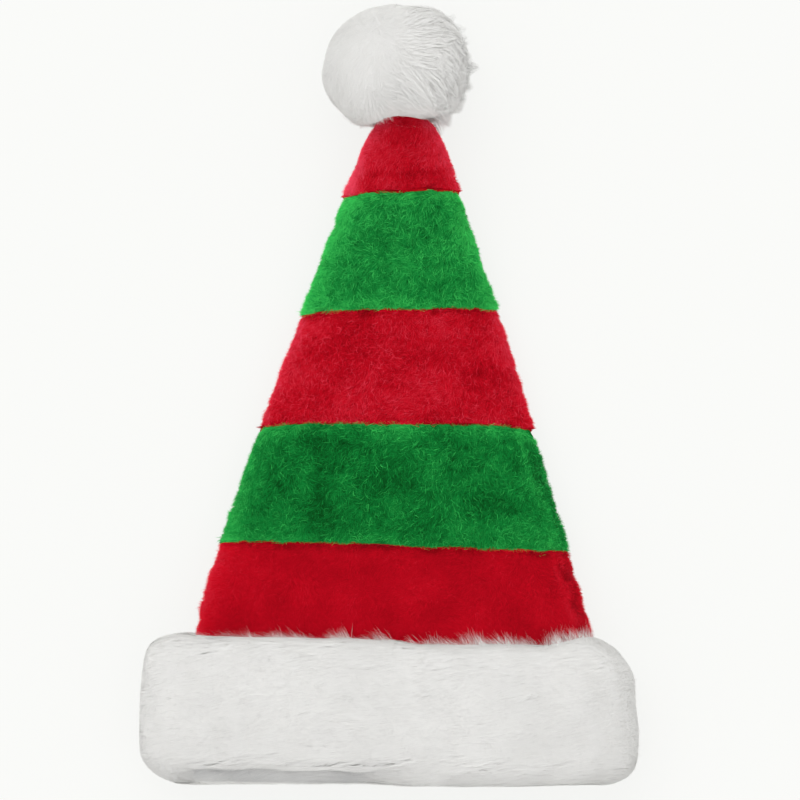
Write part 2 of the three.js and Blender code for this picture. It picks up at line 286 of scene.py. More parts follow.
def swell(piece, limit):
    """Blows a skin up as cloth and lets each point go outwards by no more than the limit."""
    before, normals = points_of(piece.data), normals_of(piece.data)
    cloth = piece.modifiers.new("swelling", "CLOTH")
    cloth.settings.use_pressure = True
    cloth.settings.uniform_pressure_force = SWELL_PRESSURE
    cloth.settings.effector_weights.gravity = 0
    cloth.point_cache.frame_start, cloth.point_cache.frame_end = 1, SWELL_FRAMES
    scene = bpy.context.scene
    for number in range(1, SWELL_FRAMES + 1):
        scene.frame_set(number)
    swollen = points_of(piece.evaluated_get(bpy.context.evaluated_depsgraph_get()).data)
    piece.modifiers.clear()
    scene.frame_set(1)
    outwards = ((swollen - before) * normals).sum(1)
    print(piece.name, "swells outwards by", round(float(outwards.mean()) / MM, 1), "mm before the limit")
    set_points(piece.data, before + normals * np.clip(outwards, 0, limit)[:, None])


# %% The cuff's and the pompom's bodies
CUFF_VOXEL, CUFF_DEPTH, CUFF_SWELL = 4.5 * MM, 1.0 * MM, 1.5 * MM
POMPOM_VOXEL, POMPOM_DEPTH = 4.0 * MM, 0.5 * MM

cuff = bodies["fur_cuff"] = body_from("fur_cuff", CUFF_VOXEL, 4)
draw_in(cuff, CUFF_DEPTH)
swell(cuff, CUFF_SWELL)
soften(cuff.data, 2)
pompom = bodies["pompom"] = body_from("pompom", POMPOM_VOXEL, 6, filled=True)
draw_in(pompom, POMPOM_DEPTH)
for body in (cuff, pompom):
    found = points_of(body.data)
    print(body.name, "from", (found.min(0) / MM).round(1), "to", (found.max(0) / MM).round(1), "mm")

# %% [markdown]
# Thick fur spreads wider than its cloth and has no sharp corners, so the cuff's ends go to their own lines
# too. Near the cuff's right end the fur of its back wall also stands up behind the front.

# %% The cuff's outline
# Heights, and the place of the outline at each, in millimetres.
CUFF_LEFT = (
    (-233, -226, -217, -184, -157, -150, -146, -142),
    (-132, -142.5, -149.3, -148.3, -147, -145, -142, -136),
)
CUFF_RIGHT = (
    (-233, -228, -223, -207, -184, -168, -160, -153, -147),
    (140, 145, 147.5, 149, 146, 146.5, 142, 136, 130),
)
CUFF_INSET, CUFF_FADE, CUFF_SPREAD = 2.3 * MM, 45 * MM, 1.02
BACK_WALL, BACK_WALL_FROM, BACK_WALL_FADE = 4.5 * MM, 95 * MM, 25 * MM
CUFF_LOWEST = 0.2 * MM

places = points_of(cuff.data)
middle_height = (places[:, 1].max() + places[:, 1].min()) / 2
above = np.maximum(places[:, 1] - middle_height, 0) / (places[:, 1].max() - middle_height)
places[:, 1] = middle_height + (places[:, 1] - middle_height) * CUFF_SPREAD
places[:, 1] += BACK_WALL * above * smooth_step((places[:, 0] - BACK_WALL_FROM) / BACK_WALL_FADE)
moved_to(places, LEFT, CUFF_LEFT, CUFF_INSET, CUFF_FADE)
moved_to(places, RIGHT, CUFF_RIGHT, CUFF_INSET, CUFF_FADE)
places[:, 2] = np.maximum(places[:, 2], CUFF_LOWEST)
set_points(cuff.data, places)
soften(cuff.data, 3)

# %% [markdown]
# On the left half the cloth is folded under a little above the hem, so the fur above hangs over a lower,
# shaded strip. The fold is pressed into the skin as a step: what lies below its line sinks. The fur in the
# strip is also painted darker: painted shade.

# %% The fold over the hem
FOLD_LINE, FOLD_DEPTH, FOLD_EDGE = -218.5 * MM, 7 * MM, 4 * MM
FOLD_LEFT, FOLD_LEFT_FADE, FOLD_RIGHT, FOLD_RIGHT_FADE = -128 * MM, 16 * MM, 22 * MM, 40 * MM
FOLD_FRONT, FOLD_FRONT_FADE = 20 * MM, 12 * MM
# The fold's line rises and falls in two waves: how far, and over what length.
FOLD_WAVES = ((1.4 * MM, 17 * MM), (0.7 * MM, 6.5 * MM))


def folded(places):
    """How deep in the fold each place of the cuff is, from 0 to 1."""
    wave = sum(rise * np.sin(places[:, 0] / run) for rise, run in FOLD_WAVES)
    below = smooth_step((FOLD_LINE + wave - places[:, 1]) / FOLD_EDGE)
    within = smooth_step((places[:, 0] - FOLD_LEFT) / FOLD_LEFT_FADE)
    within *= smooth_step((FOLD_RIGHT - places[:, 0]) / FOLD_RIGHT_FADE)
    return below * within * smooth_step((places[:, 2] - FOLD_FRONT) / FOLD_FRONT_FADE)


places = points_of(cuff.data)
places[:, 2] -= FOLD_DEPTH * folded(places)
set_points(cuff.data, places)

# %% [markdown]
# The crown's tip lies in front of the pompom's lower hair. So the ball is parted there: in front of the tip
# its skin goes up and away, and on both sides and behind it hangs lower and fuller than a ball would.

# %% The pompom's outline, and its parting round the tip
# In millimetres: heights, and the place of the outline at each. The top and the parting are places from
# left to right, and the height at each.
POMPOM_LEFT = (
    (157, 162, 166, 171, 176, 185, 195, 205, 214, 224, 229, 233),
    (-13, -22, -27, -32, -35.8, -38.8, -40, -38.8, -36, -27.5, -20, -9),
)
POMPOM_RIGHT = (
    (157, 162, 166, 171, 176, 185, 195, 205, 214, 224, 229, 233),
    (30, 31.5, 34, 37.2, 39.5, 42.7, 44.5, 43.5, 40.5, 33, 24, 8),
)
POMPOM_TOP = (
    (-40, -36.4, -27.4, -14.2, -5.2, 14, 27, 36, 42, 45),
    (197, 213, 223, 229.5, 232, 232, 228.5, 222, 213, 197),
)
POMPOM_INSET, POMPOM_FADE = 2.8 * MM, 30 * MM
PARTING = (
    (-15, -12, -8, -3, 5, 14, 19, 23, 27, 36),
    (154, 160, 164.5, 167.5, 168.5, 168, 166.5, 164, 162, 161),
)
FRONT_FROM, FRONT_FADE = 16 * MM, 10 * MM
PARTED_ABOVE, PARTED_FADE = 10 * MM, 8 * MM
SKIRT_BELOW, SKIRT_FADE, SKIRT_DROP = 178 * MM, 16 * MM, 3.0 * MM


def parting_edge(places):
    """The height of the parting's edge at each place's x."""
    return np.interp(places[:, 0], np.array(PARTING[0]) * MM, np.array(PARTING[1]) * MM)


def in_front(places):
    """1 for places of the pompom before the crown's tip, 0 for those beside and behind it."""
    return smooth_step((places[:, 2] - FRONT_FROM) / FRONT_FADE)


def parted(places):
    """How near each place of the pompom is to the parting, from 0 to 1."""
    above = parting_edge(places) + PARTED_ABOVE - places[:, 1]
    return smooth_step(above / PARTED_FADE) * in_front(places)


places = points_of(pompom.data)
places[:, 1] -= SKIRT_DROP * smooth_step((SKIRT_BELOW - places[:, 1]) / SKIRT_FADE)
moved_to(places, LEFT, POMPOM_LEFT, POMPOM_INSET, POMPOM_FADE)
moved_to(places, RIGHT, POMPOM_RIGHT, POMPOM_INSET, POMPOM_FADE)
moved_to(places, UPPER, POMPOM_TOP, POMPOM_INSET, POMPOM_FADE)
places[:, 1] += in_front(places) * np.maximum(parting_edge(places) - places[:, 1], 0)
set_points(pompom.data, places)
soften(pompom.data, 3)

# %% [markdown]
# ## Hair
#
# A tuft of plush is far too fine to model fibre by fibre, so each blade here stands for a few fibres. A
# blade is a flat strip that narrows to a point, one to three triangles in all. Its broad side faces away
# from the cloth, so it reflects light as the lying fur does.
#
# Hair is planted at random spots. Soft noise, the same at neighbouring spots, bends it in patches, because
# real pile leans together in small clumps.

# %% Planting hair
def cloud(points, size, seed):
    """Soft noise from -1 to 1 in patches of about this size."""
    cells = 32
    values = np.random.default_rng(seed).uniform(-1, 1, (cells, cells, cells))
    place = points / size
    cell = np.floor(place).astype(int)
    part = place - cell
    part = part * part * (3 - 2 * part)
    total = np.zeros(len(points))
    for corner in itertools.product((0, 1), repeat=3):
        weight = np.prod(np.where(corner, part, 1 - part), axis=1)
        total += weight * values[tuple(((cell + corner) % cells).T)]
    return total


def clouds(points, size, seed):
    """Soft noise in three directions."""
    return np.stack([cloud(points, size, seed + axis) for axis in range(3)], axis=1)


def plant(piece, count, chance, share):
    """Random spots on a piece's skin and the normals there.

    share(places, normals) says how thickly each face is planted.
    """
    mesh = piece.data
    mesh.calc_loop_triangles()
    corners = np.zeros(len(mesh.loop_triangles) * 3, np.int32)
    mesh.loop_triangles.foreach_get("vertices", corners)
    corners = corners.reshape(-1, 3)
    points, normals = points_of(mesh), normals_of(mesh)
    a, b, c = points[corners].transpose(1, 0, 2)
    weight = np.linalg.norm(np.cross(b - a, c - a), axis=1)
    weight = weight * share(points[corners].mean(1), unit(normals[corners].mean(1)))
    corners = corners[chance.choice(len(corners), count, p=weight / weight.sum())]
    parts = chance.dirichlet((1, 1, 1), count)[:, :, None]
    return (points[corners] * parts).sum(1), unit((normals[corners] * parts).sum(1))


# %% Making the blades
# How a blade narrows to its point, and how near the floor a hair comes.
NARROWING, CLEARANCE = 0.6, 0.3 * MM
# How much of a blade's own face shows in its shading.
PILE_FACE, CUFF_FACE, WISP_FACE, POMPOM_FACE = 0.25, 0.03, 0.1, 0.05


def blades(spines, outward, widths, tones, face_share):
    """Blades along spines (hairs, points, xyz), with one outward normal, width and tone for each hair.

    face_share says how much of a blade's own face shows in its shading. The rest is the skin's.
    """
    hairs, steps = spines.shape[:2]
    run = unit(spines[:, -1] - spines[:, 0])
    across = unit(np.cross(run, outward))
    narrowing = np.linspace(1, 0, steps)[:-1] ** NARROWING
    half = across[:, None] * (widths[:, None, None] * narrowing[None, :, None] / 2)
    pairs = np.stack([spines[:, :-1] - half, spines[:, :-1] + half], axis=2).reshape(hairs, -1, 3)
    points = np.concatenate([pairs, spines[:, -1:]], axis=1)
    size = points.shape[1]
    pattern = []
    for k in range(0, size - 3, 2):
        pattern += [(k, k + 1, k + 3), (k, k + 3, k + 2)]
    pattern.append((size - 3, size - 2, size - 1))
    faces = np.arange(hairs)[:, None, None] * size + np.array(pattern)[None]
    own = unit(np.cross(across, run))
    shading = unit(outward * (1 - face_share) + own * face_share)
    along = np.repeat(np.linspace(0, 1, steps), 2)[:-1]
    return {
        "points": points.reshape(-1, 3), "faces": faces.reshape(-1, 3),
        "normals": np.repeat(shading, size, axis=0),
        "along": np.tile(along, hairs), "tone": np.repeat(np.clip(tones, 0, 1), size),
    }


def hair_piece(name, batches):
    """One piece from batches of blades. None goes through the floor."""
    starts = np.cumsum([0] + [len(batch["points"]) for batch in batches])
    faces = np.concatenate([batch["faces"] + start for batch, start in zip(batches, starts)])
    points, normals, along, tone = (
        np.concatenate([batch[key] for batch in batches]) for key in ("points", "normals", "along", "tone")
    )
    points[:, 2] = np.maximum(points[:, 2], CLEARANCE)
    mesh = bpy.data.meshes.new(name)
    mesh.vertices.add(len(points))
    mesh.loops.add(faces.size)
    mesh.polygons.add(len(faces))
    mesh.vertices.foreach_set("co", points.ravel())
    mesh.loops.foreach_set("vertex_index", faces.astype(np.int32).ravel())
    mesh.polygons.foreach_set("loop_start", np.arange(0, faces.size, 3, dtype=np.int32))
    mesh.update(calc_edges=True)
    for label, values in (("along", along), ("tone", tone)):
        mesh.attributes.new(label, "FLOAT", "POINT").data.foreach_set("value", values.astype(np.float32))
    mesh.shade_smooth()
    mesh.normals_split_custom_set_from_vertices(normals.tolist())
    print(name, "triangles:", len(faces))
    return add_object(name, mesh)


# %% [markdown]
# ## The crown's short pile
#
# The crown's plush is cut short, about 6 mm, and it curls a little. One blade of a single triangle is
# enough for it, if there are many. Clumps of two sizes lean it to and fro: the larger ones give the cloudy
# patches of the photograph, and the smaller ones its fine curly streaks.

# %% Where a stripe's pile stands
# Hair below this line would be inside the cuff. Near a seam it starts at this share of the allowance.
HIDDEN_BELOW, BARE_SHARE = -150 * MM, 0.8
# How far a face has to look outwards to be planted, over what it fades in, and what looking sideways adds.
OUTWARD, OUTWARD_FADE, SIDEWAYS = 0.2, 0.3, 0.9


def area_of(piece, share):
    """The planted area of a piece's skin in square metres."""
    faces = piece.data.polygons
    middles = np.array([face.center for face in faces])
    normals = np.array([face.normal for face in faces])
    return float((np.array([face.area for face in faces]) * share(middles, normals)).sum())


def on_outer_side(body, side):
    """How thickly a panel is planted: fully outside, and not at a seam, in the cuff or on its inner side."""
    def share(places, normals):
        outer = SIDES[side] * normals[:, 2] + SIDEWAYS * np.abs(normals[:, 0])
        before_seams = np.minimum(*margins(body, places)[:2]) > BARE_SHARE * SEAM_ALLOWANCE[side]
        outwards = np.clip((outer - OUTWARD) / OUTWARD_FADE, 0, 1)
        return outwards * (places[:, 1] > HIDDEN_BELOW) * before_seams
    return share


def margins(body, places):
    """How far each place is from a stripe's upper seam, lower seam, left edge and right edge."""
    shape = points_of(body.data)
    return [
        edge_at(shape, places, edge) - edge[2] * places[:, edge[1]] for edge in (UPPER, LOWER, LEFT, RIGHT)
    ]


def kept_at_seams(body, allowance, tips, over_top, over_bottom):
    """Turns back the ends of hair that reach over a stripe's seams by more than this."""
    to_top, to_bottom = margins(body, tips)[:2]
    tips[:, 1] -= np.maximum(allowance - over_top - to_top, 0)
    tips[:, 1] += np.maximum(allowance - over_bottom - to_bottom, 0)
    return tips


# %% [markdown]
# Light shines through the hair at a rim, and the photograph shows how: the left edge of every stripe and
# the upper end of each green one are paler. So the hair there gets a paler tone, which is painted rim light,
# and along the red stripes' seams a darker one, which is painted shade in the seams.

# %% Short pile
PILE_LENGTH, PILE_WIDTH = 5.6 * MM, 0.46 * MM
PILE_PER_CM2 = {"front": 780, "back": 210}
CURL_PER_CM2 = {"front": 26, "back": 5}
# How far hair reaches over a stripe's upper seam and lower seam, in millimetres.
SEAM_REACH = {"green": (2.8, 2.6), "red": (0.1, 0.0)}
TIP_REACH = (2.5, 0.0)
# Painted rim light and seam shade: how much paler, or darker where it is below 0, at the upper seam, lower
# seam, left edge and right edge, and over how many millimetres.
RIM_LIGHT_AND_SEAM_SHADE = {
    "tip_red": ((-0.1, 0.8), (-0.3, 0.8), (0.55, 4), (0.3, 3)),
    "upper_green": ((0.35, 3), (0.3, 4), (0.42, 7), (0.32, 4)),
    "middle_red": ((-0.2, 0.8), (-0.3, 0.8), (0.3, 4), (0.2, 3)),
    "lower_green": ((0.35, 3), (0.3, 4), (0.3, 7), (0.15, 4)),
    "base_red": ((-0.2, 0.8), (0.0, 1.0), (0.22, 4), (0.12, 3)),
}
# Curl, tone, change of tone from patch to patch and from hair to hair. 0.35 is the dye's own tone.
PILE_LOOK = {
    "tip_red": (0.45, 0.32, 0.10, 0.10),
    "upper_green": (1.0, 0.34, 0.08, 0.15),
    "middle_red": (0.6, 0.30, 0.08, 0.11),
    "lower_green": (0.8, 0.22, 0.13, 0.12),
    "base_red": (0.12, 0.25, 0.06, 0.06),
}
# At its upper end the tip's pile stands up over the white fur, and the green pile over the red.
UPWARDS, UPWARDS_OVER = {"tip_red": 2.0, "upper_green": 1.3, "lower_green": 1.3}, 3.0 * MM
# Painted shade in creases of the front: both ends (x, y), width in millimetres, and depth of tone.
CREASE_SHADE = {
    "tip_red": ((-11, 134.5, 31, 136, 1.6, 0.14),),
    "upper_green": ((20, 84, 28, 76, 1.2, 0.22),),
    "lower_green": ((-44, -20, -41, -88, 7, 0.10),),
}
# The side seam on the right of the two lowest stripes, in painted shade: how far in, how wide and how dark
# it is. Then the same for the pale rim inside it, in painted light, and how much darker the painted shade of
# the strip beyond it is.
SIDE_SEAM, SIDE_SEAM_WIDTH, SIDE_SEAM_SHADE = 4.4 * MM, 0.8 * MM, 0.2
SIDE_RIM, SIDE_RIM_WIDTH, SIDE_RIM_LIGHT = 7.5 * MM, 2.0 * MM, 0.16
BEYOND_SEAM_SHADE = 0.08


def bump_at(values, middle, width):
    """1 at the middle, and less within about this width of it."""
    return np.exp(-((values - middle) / width) ** 2)


def painted_crease_shade(stripe, places):
    """How much the painted shade of the creases darkens each place of a stripe."""
    total = np.zeros(len(places))
    for x0, y0, x1, y1, width, depth in CREASE_SHADE.get(stripe, ()):
        start, run = np.array([x0, y0]) * MM, np.array([x1 - x0, y1 - y0]) * MM
        share = np.clip((places[:, :2] - start) @ run / (run @ run), 0, 1)
        off = np.linalg.norm(places[:, :2] - start - share[:, None] * run, axis=1)
        total += depth * bump_at(off, 0, width * MM)
    return total


def pile_tone(side, stripe, roots):
    """The pile's tone at each root, painted rim light and seam and crease shade included, apart from the
    change from hair to hair.
    """
    body = bodies[f"{side}_{stripe}"]
    curl, plain, patches, _ = PILE_LOOK[stripe]
    tones = plain + patches * cloud(roots, 13 * MM, 57) + 0.16 * curl * cloud(roots, 2.4 * MM, 51)
    # Painted shade in the creases of the front.
    if side == "front":
        tones -= painted_crease_shade(stripe, roots)
    gaps = margins(body, roots)
    # Painted light at the rims, and painted shade along the red stripes' seams.
    for gap, (paler, over) in zip(gaps, RIM_LIGHT_AND_SEAM_SHADE[stripe]):
        tones += paler * np.exp(-np.maximum(gap - SEAM_ALLOWANCE["front"], 0) / (over * MM))
    # Painted shade at the side seam and on the strip beyond it, and painted light on the rim inside it.
    if stripe in ("lower_green", "base_red"):
        tones -= SIDE_SEAM_SHADE * bump_at(gaps[3], SIDE_SEAM, SIDE_SEAM_WIDTH)
        tones += SIDE_RIM_LIGHT * bump_at(gaps[3], SIDE_RIM, SIDE_RIM_WIDTH)
        tones -= BEYOND_SEAM_SHADE * (gaps[3] < SIDE_SEAM)
    return tones


def short_pile(side, stripe, seed):
    """The pile on one stripe of one panel: straight blades, and a few long curled ones over them.

    Hair that stands on the panel's side edge leans round it, and is shorter there.
    """
    chance = np.random.default_rng(seed)
    node = f"{side}_{stripe}"
    body = bodies[node]
    share = on_outer_side(body, side)
    area = area_of(body, share) * 1e4
    curl, _, _, speckle = PILE_LOOK[stripe]
    reach = np.array(TIP_REACH if stripe == "tip_red" else SEAM_REACH[stripe.split("_")[1]]) * MM
    batches = []
    for per_cm2, length, width, lift, bend, paler in (
        (PILE_PER_CM2[side], PILE_LENGTH, PILE_WIDTH, 0.34, 0, 0.0),
        (CURL_PER_CM2[side] * curl, 1.1 * PILE_LENGTH, 0.34 * MM, 0.42, 0.5, 0.3 * curl),
    ):
        count = int(area * per_cm2)
        roots, normals = plant(body, count, chance, share)
        turned = np.abs(normals[:, :1])
        lean = 0.8 * clouds(roots, 9 * MM, 11) + curl * clouds(roots, 2.6 * MM, 21)
        lean = lean * (1 - 0.6 * turned) + 0.3 * chance.normal(size=roots.shape) + (-0.15, -0.5, 0)
        if not bend:
            lean += turned * (0, 0, -1.0 * SIDES[side])
        if stripe in UPWARDS:
            lean[:, 1] += UPWARDS[stripe] * np.exp(-np.maximum(margins(body, roots)[0], 0) / UPWARDS_OVER)
        lean -= normals * (lean * normals).sum(1, keepdims=True)
        lift = lift + 0.1 * cloud(roots, 3 * MM, 31) + 0.08 * chance.normal(size=count)
        run = unit(unit(lean) + normals * np.clip(lift, 0.1, 1.2)[:, None])
        length = length * (1 + 0.1 * cloud(roots, 5 * MM, 41) + 0.1 * chance.normal(size=count))
        length = length * (1 - 0.3 * turned[:, 0])
        reached = reach[:, None] * chance.uniform(0.1, 1.2, count)
        tips = kept_at_seams(body, SEAM_ALLOWANCE[side], roots + run * length[:, None], *reached)
        spines = np.stack([roots, tips], axis=1)
        if bend:
            sideways = np.cross(normals, run) * (length * bend * chance.uniform(-1, 1, count))[:, None]
            middle = (roots + tips) / 2 + sideways + normals * (0.2 * length)[:, None]
            spines = np.stack([roots, middle, tips], axis=1)
        tones = pile_tone(side, stripe, roots) + paler + speckle * chance.normal(size=count)
        widths = width * chance.uniform(0.7, 1.3, count)
        batches.append(blades(spines, normals, widths, tones, PILE_FACE))
    return hair_piece(f"{node}_pile", batches)


hair = {}
for number, (side, stripe) in enumerate(itertools.product(SIDES, STRIPES)):
    node = f"{side}_{stripe}"
    hair[node] = [short_pile(side, stripe, 100 + number)]

# %% [markdown]
# ## The cuff's long fur
#
# The cuff's hair is 15 to 20 mm long, silky, and combed round the band to the left, so only the last
# centimetre of each hair shows. Most blades are that last centimetre, which keeps the fur fine, and some
# whole hairs lie over them. Each one follows the skin, a little higher at its tip, as combed fur does, and
# so it also bends round the two ends of the band.

# %% Combed hair
# Hair shows from this share of its height, where it comes out from under other hair.
SHOWN_FROM = 0.85


def skin_of(body):
    """A search tree of a body's faces."""
    return BVHTree.FromPolygons(
        points_of(body.data).tolist(), [list(face.vertices) for face in body.data.polygons]
    )


def laid(skin, roots, run, lengths, heights, steps):
    """Spines that lie along a skin, a little higher at their tips."""
    spines = np.zeros((len(roots), steps, 3))
    for step in range(steps):
        part = step / (steps - 1)
        wanted = roots + run * (lengths * part)[:, None]
        raised = heights * (SHOWN_FROM + (1 - SHOWN_FROM) * part ** 0.8)
        for k, place in enumerate(wanted):
            spot, normal, _, _ = skin.find_nearest(place)
            spines[k, step] = spot + normal * raised[k]
    return spines


def along_skin(run, normals):
    """Directions turned into the skin's own plane."""
    return unit(run - normals * (run * normals).sum(1, keepdims=True))


cuff_points = points_of(cuff.data)
cuff_low, cuff_high = cuff_points.min(0), cuff_points.max(0)
cuff_middle = (cuff_low + cuff_high) / 2
cuff_skin = skin_of(cuff)


def round_the_band(places):
    """The direction round the cuff, leftwards on its front."""
    ring = (places - cuff_middle) / ((cuff_high - cuff_low) / 2) ** 2
    ring[:, 1] = 0
    return unit(np.cross(unit(ring), (0, 1, 0)))


# %% The cuff's fur
# The second number is painted shade: how much darker the fur in the fold over the hem is.
CUFF_TONE, FOLD_SHADE = 0.64, 0.37
COMBED_DOWN = (0, -0.18, 0)
# Hairs in front and behind, length, height of the tip and width in millimetres, and points along a blade.
CUFF_LAYERS = ((150000, 48000, 10, 4.0, 0.55, 2), (2000, 1000, 16, 4.1, 0.3, 3))


def cuff_fur(side, seed):
    """The fur on the front or the back of the cuff."""
    chance = np.random.default_rng(seed)

    def share(places, normals):
        return (SIDES[side] * (places[:, 2] - cuff_middle[2]) > -2 * MM).astype(float)

    batches = []
    for front, back, length, stand, width, steps in CUFF_LAYERS:
        count = front if side == "front" else back
        roots, normals = plant(cuff, count, chance, share)
        run = round_the_band(roots) + COMBED_DOWN
        run += 0.2 * clouds(roots, 16 * MM, 61) + 0.04 * clouds(roots, 5 * MM, 71)
        run = along_skin(run + 0.06 * chance.normal(size=roots.shape), normals)
        length = length * MM * (1 + 0.1 * cloud(roots, 9 * MM, 81) + 0.12 * chance.normal(size=count))
        stand = stand * MM * (1 + 0.1 * cloud(roots, 10 * MM, 91)) * chance.uniform(0.85, 1.03, count)
        spines = laid(cuff_skin, roots, run, length, stand * (1 - 0.6 * folded(roots)), steps)
        tones = CUFF_TONE + 0.1 * cloud(roots, 18 * MM, 95) + 0.03 * chance.normal(size=count)
        # Painted shade in the fold.
        tones = tones - FOLD_SHADE * folded(roots)
        widths = width * MM * chance.uniform(0.7, 1.3, count)
        batches.append(blades(spines, normals, widths, tones, CUFF_FACE))
    return hair_piece(f"cuff_fur_{side}", batches)


hair["fur_cuff"] = [cuff_fur("front", 201), cuff_fur("back", 202)]

# %% [markdown]
# Along the cuff's upper edge single tufts stand up and lie over the red stripe. On the left they lean back
# to the left like the rest of the fur, and towards the right they stand straighter. They are so thin that
# the red shows between them.

# %% Wisps over the red stripe
WISPS, WISP_TUFTS, STRAYS = 5400, 260, 420
WISP_LEFT_ANGLE, WISP_RIGHT_ANGLE = 15, 75
LOOSE_TONE = 0.8


def gathered(spines, tufts, pull):
    """Draws each hair's end to that of the nearest tuft, by its own pull. The first hairs are the tufts."""
    roots = spines[:, 0]
    nearest = np.concatenate([
        np.argmin(((part[:, None] - roots[None, :tufts]) ** 2).sum(2), axis=1)
        for part in np.array_split(roots, 1 + len(roots) // 1000)
    ])
    for step in range(1, spines.shape[1]):
        part = step / (spines.shape[1] - 1)
        spines[:, step] += (spines[nearest, step] - spines[:, step]) * (pull * part ** 1.5)[:, None]
    return spines


def cuff_wisps(seed):
    """The tufts that stand over the cuff's upper edge, and a few stray hairs at its right end."""
    chance = np.random.default_rng(seed)

    def at_top(places, normals):
        edge = (margins(cuff, places)[0] < 6 * MM) & (normals[:, 1] > 0.2)
        return (edge & (places[:, 2] > cuff_middle[2]) & (np.abs(places[:, 0]) < 122 * MM)).astype(float)

    def at_right(places, normals):
        return ((normals[:, 0] > 0.5) & (places[:, 1] < -165 * MM)).astype(float)

    roots, normals = plant(cuff, WISPS, chance, at_top)
    across = (roots[:, 0] / cuff_high[0] + 1) / 2
    angle = WISP_LEFT_ANGLE + (WISP_RIGHT_ANGLE - WISP_LEFT_ANGLE) * across
    angle = np.radians(angle + 35 * cloud(roots, 9 * MM, 401) + 12 * chance.normal(size=WISPS))
    run = unit(np.stack([-np.cos(angle), np.sin(angle), np.full(WISPS, -0.1)], axis=1))
    length = MM * np.clip(chance.normal(10, 3.2, WISPS) * (1 + 0.3 * cloud(roots, 14 * MM, 405)), 4, 18)

    strays, facing = plant(cuff, STRAYS, chance, at_right)
    aside = unit(np.array([0.9, -0.25, 0.2]) + 0.35 * chance.normal(size=strays.shape))
    roots, normals = np.concatenate([roots, strays]), np.concatenate([normals, facing])
    run, length = np.concatenate([run, aside]), np.concatenate([length, MM * chance.uniform(4, 8, STRAYS)])

    count = len(roots)
    middle = roots + normals * MM + run * (length / 2)[:, None]
    tips = roots - normals * MM + run * length[:, None]
    pull = chance.uniform(0, 0.6, count) * (np.arange(count) < WISPS)
    spines = gathered(np.stack([roots, middle, tips], axis=1), WISP_TUFTS, pull)
    widths = 0.17 * MM * chance.uniform(0.6, 1.3, count)
    tones = np.full(count, LOOSE_TONE)
    return hair_piece("cuff_wisps", [blades(spines, normals, widths, tones, WISP_FACE)])


hair["fur_cuff"].append(cuff_wisps(205))

# %% [markdown]
# ## The pompom's tufts
#
# The pompom's hair is the longest, 20 to 25 mm, and the blades are its last 12 to 18 mm. On the left it lies
# smooth, brushed round the ball. On the right and below it breaks into pointed tufts, and some stick out. A
# tuft forms when hair is drawn to the tip of one hair in its midst.

# %% The pompom's hair
# Hairs, length, height of the tip and width in millimetres, points along a blade, number of tufts and how
# closely they are gathered, how much higher the hair stands on the right, and whether it grows only there.
POMPOM_LAYERS = (
    (105000, 12, 4.5, 0.5, 2, 1500, 0.45, 2, False),
    (8000, 16, 4.5, 0.4, 3, 420, 0.5, 3, False),
    (7000, 18, 5.5, 0.34, 3, 150, 0.75, 3.5, True),
)
# The tufts that stick out of the outline on the right.
LOOSE_HAIRS, LOOSE_TUFTS, LOOSE_PULL = 3000, 45, 0.75
# The fur is brushed away from this point, and it lies all ways close round it.
SWIRL, SWIRL_SIZE = np.array([-8, 213, 70]) * MM, 8 * MM
TUFTED_FROM, TUFTED_FADE, TUFTED_SLANT = 12 * MM, 28 * MM, 0.5
POMPOM_TONE = 0.68

pompom_points = points_of(pompom.data)
pompom_middle = (pompom_points.min(0) + pompom_points.max(0)) / 2
pompom_skin = skin_of(pompom)


def tufted(places):
    """How far each place is into the tufted side of the pompom, which lies right and below, from 0 to 1."""
    off = places - pompom_middle
    return smooth_step((off[:, 0] - TUFTED_SLANT * off[:, 1] + TUFTED_FROM) / TUFTED_FADE)


